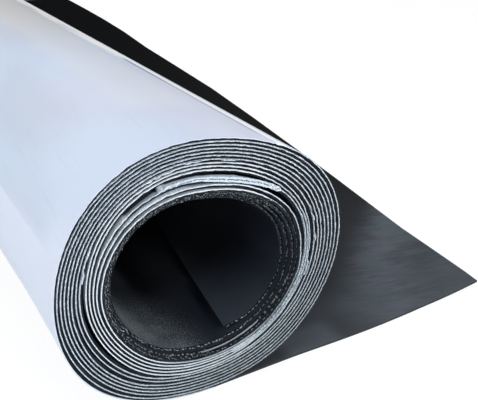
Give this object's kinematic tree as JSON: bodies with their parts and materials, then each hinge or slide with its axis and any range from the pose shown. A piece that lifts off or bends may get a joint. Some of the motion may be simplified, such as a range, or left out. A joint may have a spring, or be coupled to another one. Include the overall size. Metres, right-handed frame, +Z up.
{
  "type": "roll of rubber roofing membrane",
  "caption": "Roll of black self-adhesive rubber roofing sheet with pale release film, lying on its side with its outer end unrolled flat on the floor.",
  "frame": {"origin": "on the axis of the bore, halfway along the width of the sheet", "axes": "+X along the bore's axis towards the end with the recessed inner turns, +Y towards the unrolled end of the sheet, +Z up"},
  "size_m": [1.008, 0.3463, 0.1208],
  "materials": {
    "rubber": "matt black vulcanised rubber with a fine woven imprint",
    "film": "satin bluish white release film"
  },
  "bodies": {
    "root": {"membrane": "rubber", "release_film": "film"}
  },
  "joints": []
}
